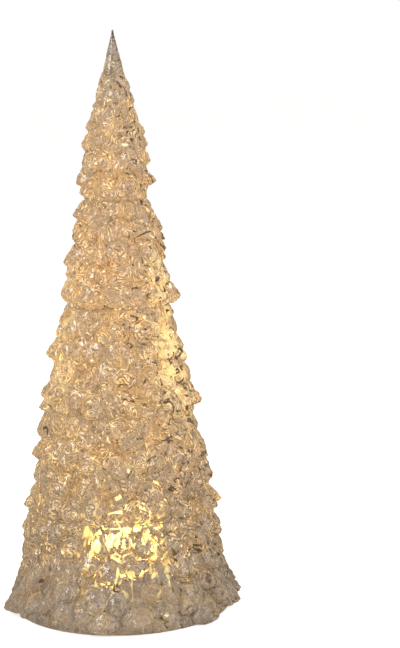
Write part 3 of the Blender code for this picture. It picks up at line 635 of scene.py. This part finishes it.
def softened(node, body, slot, material, width):
    """A moulded or pressed piece with its edges rounded over."""
    bm = bmesh.new()
    bm.from_mesh(NODES[node].data)
    bmesh.ops.remove_doubles(bm, verts=bm.verts, dist=MERGE)
    bmesh.ops.dissolve_limit(bm, angle_limit=math.radians(2), verts=bm.verts, edges=bm.edges)
    bmesh.ops.recalc_face_normals(bm, faces=bm.faces)
    sharp = math.radians(35)
    bmesh.ops.bevel(
        bm,
        geom=[edge for edge in bm.edges if edge.is_manifold and edge.calc_face_angle(0) > sharp],
        offset=width,
        segments=2,
        profile=0.5,
        affect="EDGES",
        clamp_overlap=True,
        material=-1,
    )
    finished(bm, node + "_rounded", node, body, slot, material)


def arc(centre, radius, start, end, count):
    """Points of an arc in an outline, with angles in degrees from the +radius side."""
    across, up = centre
    angles = [math.radians(angle) for angle in along(start, end, count)]
    return [(across + radius * math.cos(angle), up + radius * math.sin(angle)) for angle in angles]


# which way each cell's button points along X; its spring is at the other end
CELL_FACING = {1: -1, 2: 1, 3: -1}
SPRING_RADII = (4.1 * MM, 2.7 * MM)
SPRING_WIRE = 0.35 * MM
SPRING_TURNS = 2.75


def make_cell(number, wrap, steel):
    """A round cell: film wrap shrunk over both ends, steel base, and a button with a rounded rim."""
    node = f"battery_cell_{number}"
    low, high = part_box(node)
    radius = (high.z - low.z) / 2
    half = (high.x - low.x) / 2
    centre = ((low.x + high.x) / 2, (low.y + high.y) / 2, (low.z + high.z) / 2)
    button, nub, rim = 2.75 * MM, 1.2 * MM, 0.35 * MM
    shoulder = half - nub
    turn = 0.9 * MM  # radius of the wrap where it turns over each end
    fold = 0.05 * MM - half
    outline = [(0, -half), (radius - 1.9 * MM, -half), (radius - 1.7 * MM, 0.25 * MM - half)]
    outline += [(radius - turn, fold), *arc((radius - turn, fold + turn), turn, -90, 0, 5)[1:]]
    outline += arc((radius - turn, shoulder - turn), turn, 0, 90, 5)
    outline += [(radius - 1.8 * MM, shoulder - 0.05 * MM), (radius - 2.0 * MM, shoulder - 0.35 * MM)]
    outline += [(button + 0.3 * MM, shoulder - 0.35 * MM), (button, half - rim)]
    outline += [*arc((button - rim, half - rim), rim, 0, 90, 3)[1:], (0, half)]
    bm = spun(outline, 48)
    laid = Matrix.Rotation(CELL_FACING[number] * math.pi / 2, 4, "Y")
    bmesh.ops.transform(bm, matrix=Matrix.Translation(centre) @ laid, verts=bm.verts)
    for face in bm.faces:
        away = (face.calc_center_median() - Vector(centre)).yz.length
        face.material_index = 0 if away > radius - 1.75 * MM else 1
    finished(bm, node + "_wrapped", node, f"cell_{number}", "cell_wrap", wrap, steel)


def make_spring(number, steel):
    """A tapered coil between the tray's contact and its cell, built at one fixed length."""
    node = f"contact_spring_{number}"
    low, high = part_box(node)
    wide, narrow = SPRING_RADII
    middle = (low + high) / 2
    toward = CELL_FACING[number]
    seat = Vector((high.x if toward < 0 else low.x, middle.y, middle.z))
    length = high.x - low.x - 2 * SPRING_WIRE
    steps = round(SPRING_TURNS * 24)
    bm = bmesh.new()
    start = Matrix.Translation((toward * SPRING_WIRE, wide, 0))
    bmesh.ops.create_circle(bm, segments=8, radius=SPRING_WIRE, matrix=start)
    bmesh.ops.spin(
        bm,
        geom=bm.edges[:],
        cent=(0, 0, 0),
        axis=(1, 0, 0),
        dvec=(toward * length / steps, 0, 0),
        angle=math.tau * SPRING_TURNS,
        steps=steps,
    )
    bmesh.ops.holes_fill(bm, edges=[edge for edge in bm.edges if edge.is_boundary])
    for vert in bm.verts:
        share = min(max((abs(vert.co.x) - SPRING_WIRE) / length, 0), 1)
        around = vert.co.yz.length
        closer = (around - (wide - narrow) * share) / around
        vert.co = seat + Vector((vert.co.x, vert.co.y * closer, vert.co.z * closer))
    bmesh.ops.recalc_face_normals(bm, faces=bm.faces[:])
    coil = finished(bm, node + "_coil", node, "tree", "nickel_steel", steel)
    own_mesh(coil)


def make_lamp(node, resin, steel):
    """A round lamp with a flange, a fine dome and two legs through the board."""
    low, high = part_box(node)
    x, y = (low.x + high.x) / 2, (low.y + high.y) / 2
    seat = high.z - LAMP_HEIGHT
    dome, flange, edge, thick = 2.5 * MM, 2.9 * MM, 0.1 * MM, 1.0 * MM
    outline = [(0, seat), (flange - edge, seat), (flange, seat + edge), (flange, seat + thick - edge)]
    outline += [(flange - edge, seat + thick), (dome, seat + thick)]
    outline += [*arc((0, high.z - dome), dome, 0, 90, 8)[:-1], (0, high.z)]
    bm = spun(outline, 32)
    bmesh.ops.transform(bm, matrix=Matrix.Translation((x, y, 0)), verts=bm.verts)
    leg_width, leg_spread, sunk = 0.45 * MM, 1.27 * MM, 0.4 * MM
    for side in (-1, 1):
        leg = bmesh.ops.create_cube(bm, size=1)["verts"]
        bmesh.ops.scale(bm, vec=(leg_width, leg_width, seat - low.z + sunk), verts=leg)
        place = (x + side * leg_spread, y, (seat + low.z + sunk) / 2)
        bmesh.ops.translate(bm, vec=place, verts=leg)
        for face in {face for vert in leg for face in vert.link_faces}:
            face.material_index = 1
    obj = finished(bm, node + "_dome", node, "tree", "lamp_resin", resin, steel)
    obj.visible_diffuse = False


white = plastic_paint("tray_plastic", (0.84, 0.82, 0.78), 0.45)
steel = metal_paint("nickel_steel", (0.72, 0.71, 0.69), 0.3)
wrap = plastic_paint("cell_wrap", (0.12, 0.13, 0.15), 0.3)
resin = lamp_paint()
black = plastic_paint("black_plastic", (0.03, 0.03, 0.03), 0.4)
brown = plastic_paint("switch_resin", (0.12, 0.07, 0.04), 0.5)
finish_nodes(steel, *(name for name in NODES if "screw" in name or "contact" in name), "switch_frame")
finish_nodes(board_paint(), "lamp_board")
finish_nodes(plastic_paint("resistor_lacquer", (0.72, 0.55, 0.36), 0.3), "resistor_1", "resistor_2")
finish_nodes(plastic_paint("wire_red", (0.6, 0.05, 0.04), 0.4), "wire_to_switch", "wire_to_board")
finish_nodes(plastic_paint("wire_black", (0.03, 0.03, 0.03), 0.4), "wire_to_cells")

softened("base_tray", "tree", "tray_plastic", white, 0.25 * MM)
softened("battery_door", "door", "tray_plastic", white, 0.25 * MM)
softened("switch_knob", "knob", "black_plastic", black, 0.15 * MM)
softened("switch_housing", "tree", "switch_resin", brown, 0.15 * MM)
for name in NODES:
    if name.startswith(("tray_screw", "switch_screw")):
        softened(name, "tree", "nickel_steel", steel, 0.12 * MM)
for number in CELL_FACING:
    make_cell(number, wrap, steel)
    make_spring(number, steel)
for name in NODES:
    if name.startswith("lamp_") and name != "lamp_board":
        make_lamp(name, resin, steel)


# ---------------------------------------------------------------- studio


def make_floor():
    """A pale floor so wide that its far edge can't be seen."""
    bm = bmesh.new()
    bmesh.ops.create_grid(bm, x_segments=8, y_segments=8, size=400)
    floor = put_in_scene(bm, "studio_floor")
    paint = Paint("studio_floor")
    cloud = paint.grain(0.4, 2)
    paint.set(
        Base_Color=paint.mix(cloud, (0.88, 0.88, 0.88), (0.92, 0.92, 0.92)),
        Roughness=0.9,
        Specular_IOR_Level=0.0,
        Emission_Color=(1, 1, 1, 1),
        Emission_Strength=0.16,
    )
    floor.data.materials.append(paint.material)
    floor.visible_transmission = False
    floor.visible_glossy = False


def make_world():
    """White behind and around; what the acrylic bends and mirrors is a warmer, patchy room."""
    world = bpy.data.worlds.new("studio")
    world.use_nodes = True
    bpy.context.scene.world = world
    tree = world.node_tree
    background = tree.nodes["Background"]
    path = tree.nodes.new("ShaderNodeLightPath")
    either = tree.nodes.new("ShaderNodeMath")
    either.operation = "MAXIMUM"
    tree.links.new(path.outputs["Is Camera Ray"], either.inputs[0])
    tree.links.new(path.outputs["Is Diffuse Ray"], either.inputs[1])
    place = tree.nodes.new("ShaderNodeTexCoord")
    room = tree.nodes.new("ShaderNodeTexNoise")
    room.inputs["Scale"].default_value = 3.2
    room.inputs["Detail"].default_value = 3
    tree.links.new(place.outputs["Generated"], room.inputs["Vector"])
    shades = tree.nodes.new("ShaderNodeValToRGB")
    tree.links.new(room.outputs[0], shades.inputs[0])
    stops = [(0.40, (0.06, 0.04, 0.03)), (0.50, (0.33, 0.25, 0.17)), (0.62, (0.95, 0.80, 0.62))]
    shades.color_ramp.elements.new(0.5)
    for element, (position, colour) in zip(shades.color_ramp.elements, stops):
        element.position, element.color = position, (*colour, 1)
    mix = tree.nodes.new("ShaderNodeMix")
    mix.data_type = "RGBA"
    tree.links.new(either.outputs[0], mix.inputs[0])
    tree.links.new(shades.outputs[0], mix.inputs[6])
    mix.inputs[7].default_value = (1, 1, 1, 1)
    tree.links.new(mix.outputs[2], background.inputs["Color"])
    background.inputs["Strength"].default_value = 1.0


def make_light(name, place, size, power):
    """A soft lamp aimed at the middle of the tree."""
    data = bpy.data.lights.new(name, "AREA")
    data.shape = "RECTANGLE"
    data.size, data.size_y = size
    data.energy = power
    light = bpy.data.objects.new(name, data)
    bpy.context.scene.collection.objects.link(light)
    light.location = place
    aim = Vector((0, 0, 150 * MM)) - Vector(place)
    light.rotation_euler = aim.to_track_quat("-Z", "Y").to_euler()


def make_camera():
    """A long lens at table height, turned and rolled a little."""
    data = bpy.data.cameras.new("camera")
    data.lens = 91
    data.sensor_width = 36
    data.clip_start = 0.01
    camera = bpy.data.objects.new("camera", data)
    bpy.context.scene.collection.objects.link(camera)
    eye = (0, -900 * MM, 282 * MM)
    down, turn, roll = (math.radians(angle) for angle in (7.83, -2.89, -0.7))
    aim = Matrix.Rotation(turn, 4, "Z") @ Matrix.Rotation(math.pi / 2 - down, 4, "X")
    camera.matrix_world = Matrix.Translation(eye) @ aim @ Matrix.Rotation(roll, 4, "Z")
    bpy.context.scene.camera = camera


make_floor()
make_world()
make_light("key", (-0.9, -0.8, 1.1), (0.5, 0.5), 10.5)
make_light("fill", (1.0, -0.7, 0.6), (1.2, 1.2), 7)
make_light("back", (0.1, 0.9, 0.8), (0.9, 0.4), 6)
make_camera()

scene = bpy.context.scene
scene.view_settings.view_transform = "Standard"
scene.cycles.use_denoising = True
scene.cycles.max_bounces = 14
scene.cycles.transmission_bounces = 12
scene.cycles.caustics_reflective = False
scene.cycles.caustics_refractive = False
scene.cycles.sample_clamp_indirect = 6
